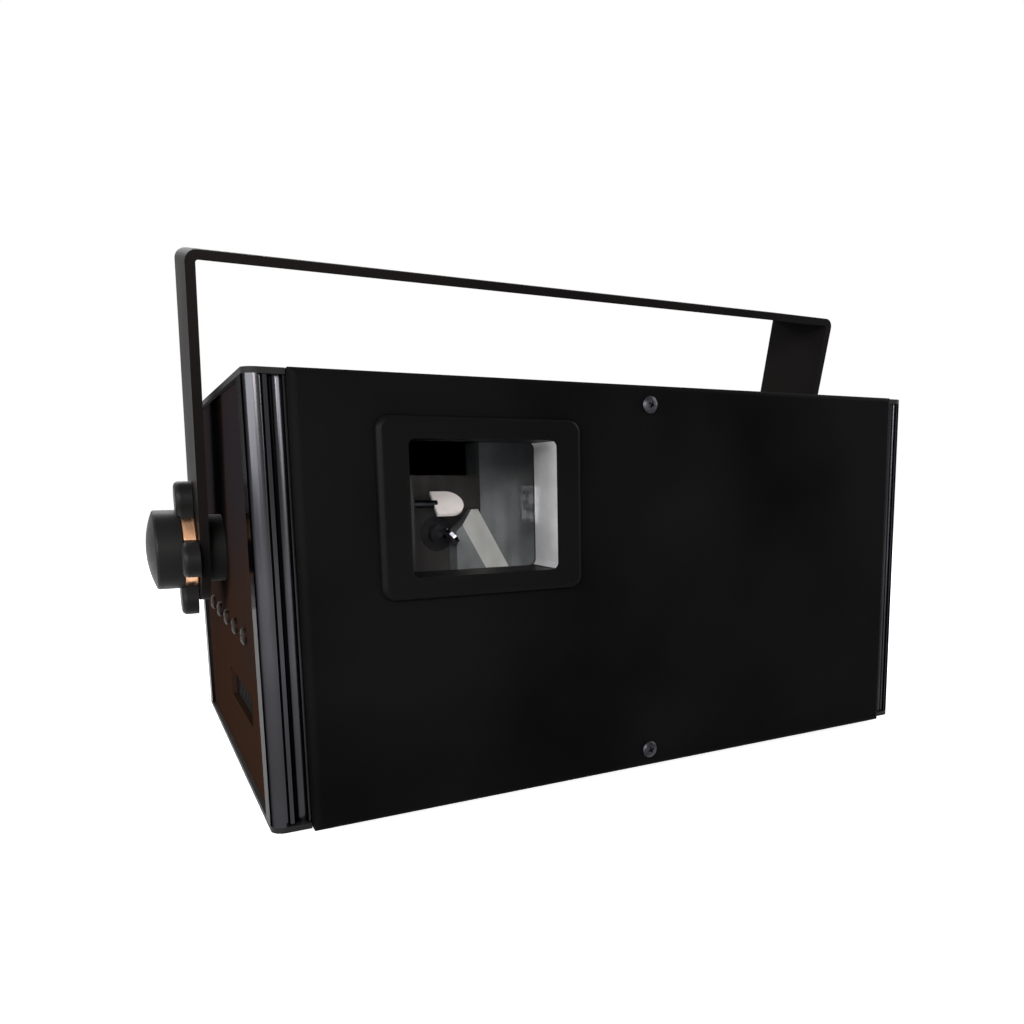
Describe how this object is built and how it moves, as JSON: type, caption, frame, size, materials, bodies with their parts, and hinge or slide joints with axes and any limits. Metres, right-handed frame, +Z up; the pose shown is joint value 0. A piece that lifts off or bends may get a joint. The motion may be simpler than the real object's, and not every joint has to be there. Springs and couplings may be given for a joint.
{
  "type": "laser show projector",
  "caption": "Box-shaped laser show projector with fluted corner posts, a deep scanner window in the front, a tilting U-shaped yoke with lobed clamp knobs, and a rear connector panel.",
  "frame": {"origin": "on the floor under the middle of the part's outer box, between the four rubber feet", "axes": "+Z up, the window faces -Y, +X to the right of a viewer who looks at the window"},
  "size_m": [0.345, 0.232, 0.2117],
  "materials": {
    "black_panel": "black powder coat",
    "black_post": "black anodised extrusion",
    "black_steel": "black powder coat",
    "bright_steel": "plated",
    "black_screw": "black oxide",
    "bezel_metal": "black anodised",
    "bare_aluminium": "machined",
    "mirror_glass": "coated",
    "clear_glass": "clear",
    "knob_plastic": "moulded",
    "gold_aluminium": "turned, gold anodised",
    "spacer_plastic": "friction disc",
    "rubber": "moulded",
    "circuit_board": "solder mask",
    "fan_plastic": "moulded",
    "socket_plastic": "moulded",
    "rocker_plastic": "moulded",
    "display_plastic": "smoked lens",
    "button_plastic": "moulded"
  },
  "bodies": {
    "housing": {"backing_plates": "bright_steel", "blue_laser": "bare_aluminium", "board_pillars": "socket_plastic", "bottom_plate": "black_panel", "combining_mirrors": "mirror_glass", "control_board": "circuit_board", "control_port": "bright_steel", "cover_screws": "black_screw", "display_window": "display_plastic", "fan_frame": "fan_plastic", "fan_guard": "black_steel", "front_left_post": "black_post", "front_panel": "black_panel", "front_right_post": "black_post", "glass_clips": "black_screw", "green_laser": "bare_aluminium", "key_lock": "bright_steel", "left_side_panel": "black_panel", "mirror_mounts": "bare_aluminium", "optical_base": "bare_aluminium", "panel_screws": "black_screw", "pivot_spacers": "spacer_plastic", "pivot_studs": "bright_steel", "power_inlet": "socket_plastic", "power_supply": "bare_aluminium", "power_switch": "socket_plastic", "rear_left_post": "black_post", "rear_panel": "black_panel", "rear_right_post": "black_post", "red_laser": "bare_aluminium", "right_side_panel": "black_panel", "rubber_feet": "rubber", "safety_eye": "bright_steel", "scanner_block": "bezel_metal", "scanner_bracket": "bare_aluminium", "scanner_driver": "circuit_board", "shelf_screws": "black_screw", "signal_in_socket": "socket_plastic", "signal_out_socket": "socket_plastic", "top_cover": "black_panel", "vent_grilles": "black_steel", "window_bezel": "bezel_metal", "window_glass": "clear_glass", "window_seal": "rubber", "x_galvo_motor": "bare_aluminium", "y_galvo_motor": "bare_aluminium"},
    "yoke": {"yoke": "black_steel"},
    "left_collar": {"left_knob_collar": "gold_aluminium"},
    "left_knob": {"left_knob_grip": "knob_plastic"},
    "right_collar": {"right_knob_collar": "gold_aluminium"},
    "right_knob": {"right_knob_grip": "knob_plastic"},
    "x_mirror": {"x_scan_mirror": "mirror_glass"},
    "y_mirror": {"y_scan_mirror": "mirror_glass"},
    "fan": {"fan_rotor": "fan_plastic"},
    "rocker": {"power_rocker": "rocker_plastic"},
    "key": {"key_plug": "bright_steel"},
    "button_1": {"menu_button_1": "button_plastic"},
    "button_2": {"menu_button_2": "button_plastic"},
    "button_3": {"menu_button_3": "button_plastic"},
    "button_4": {"menu_button_4": "button_plastic"}
  },
  "joints": [
    {"name": "yoke_tilt", "type": "hinge", "parent": "housing", "child": "yoke", "pos_m": [0, -0.00325, 0.09308], "axis": [1, 0, 0], "range_deg": [-58, 31]},
    {"name": "left_collar_slide", "type": "slide", "parent": "housing", "child": "left_collar", "axis": [-1, 0, 0], "range_m": [0, 0.00126]},
    {"name": "left_knob_turn", "type": "hinge", "parent": "left_collar", "child": "left_knob", "pos_m": [-0.15435, -0.00325, 0.09308], "axis": [-1, 0, 0], "range_deg": [0, 360]},
    {"name": "right_collar_slide", "type": "slide", "parent": "housing", "child": "right_collar", "axis": [1, 0, 0], "range_m": [0, 0.00126]},
    {"name": "right_knob_turn", "type": "hinge", "parent": "right_collar", "child": "right_knob", "pos_m": [0.15435, -0.00325, 0.09308], "axis": [1, 0, 0], "range_deg": [0, 360]},
    {"name": "x_scan", "type": "hinge", "parent": "housing", "child": "x_mirror", "pos_m": [-0.063, -0.06, 0.09781], "axis": [0, 1, 0], "range_deg": [-15, 15]},
    {"name": "y_scan", "type": "hinge", "parent": "housing", "child": "y_mirror", "pos_m": [-0.063, -0.06, 0.11081], "axis": [1, 0, 0], "range_deg": [-15, 15]},
    {"name": "fan_spin", "type": "hinge", "parent": "housing", "child": "fan", "pos_m": [-0.07975, 0.0855, 0.07975], "axis": [0, 1, 0], "continuous": true},
    {"name": "rocker_throw", "type": "hinge", "parent": "housing", "child": "rocker", "pos_m": [0.06598, 0.095, 0.03627], "axis": [1, 0, 0], "range_deg": [0, 20]},
    {"name": "key_turn", "type": "hinge", "parent": "housing", "child": "key", "pos_m": [0.00797, 0.098, 0.07066], "axis": [0, 1, 0], "range_deg": [0, 90]},
    {"name": "button_1_press", "type": "slide", "parent": "housing", "child": "button_1", "axis": [0, -1, 0], "range_m": [0, 0.001], "stiffness_N_per_m": 400},
    {"name": "button_2_press", "type": "slide", "parent": "housing", "child": "button_2", "axis": [0, -1, 0], "range_m": [0, 0.001], "stiffness_N_per_m": 400},
    {"name": "button_3_press", "type": "slide", "parent": "housing", "child": "button_3", "axis": [0, -1, 0], "range_m": [0, 0.001], "stiffness_N_per_m": 400},
    {"name": "button_4_press", "type": "slide", "parent": "housing", "child": "button_4", "axis": [0, -1, 0], "range_m": [0, 0.001], "stiffness_N_per_m": 400}
  ],
  "couplings": [
    {"joint": "left_collar_slide", "follows": "left_knob_turn", "m_per_rad": 0.00019894},
    {"joint": "right_collar_slide", "follows": "right_knob_turn", "m_per_rad": 0.00019894}
  ]
}
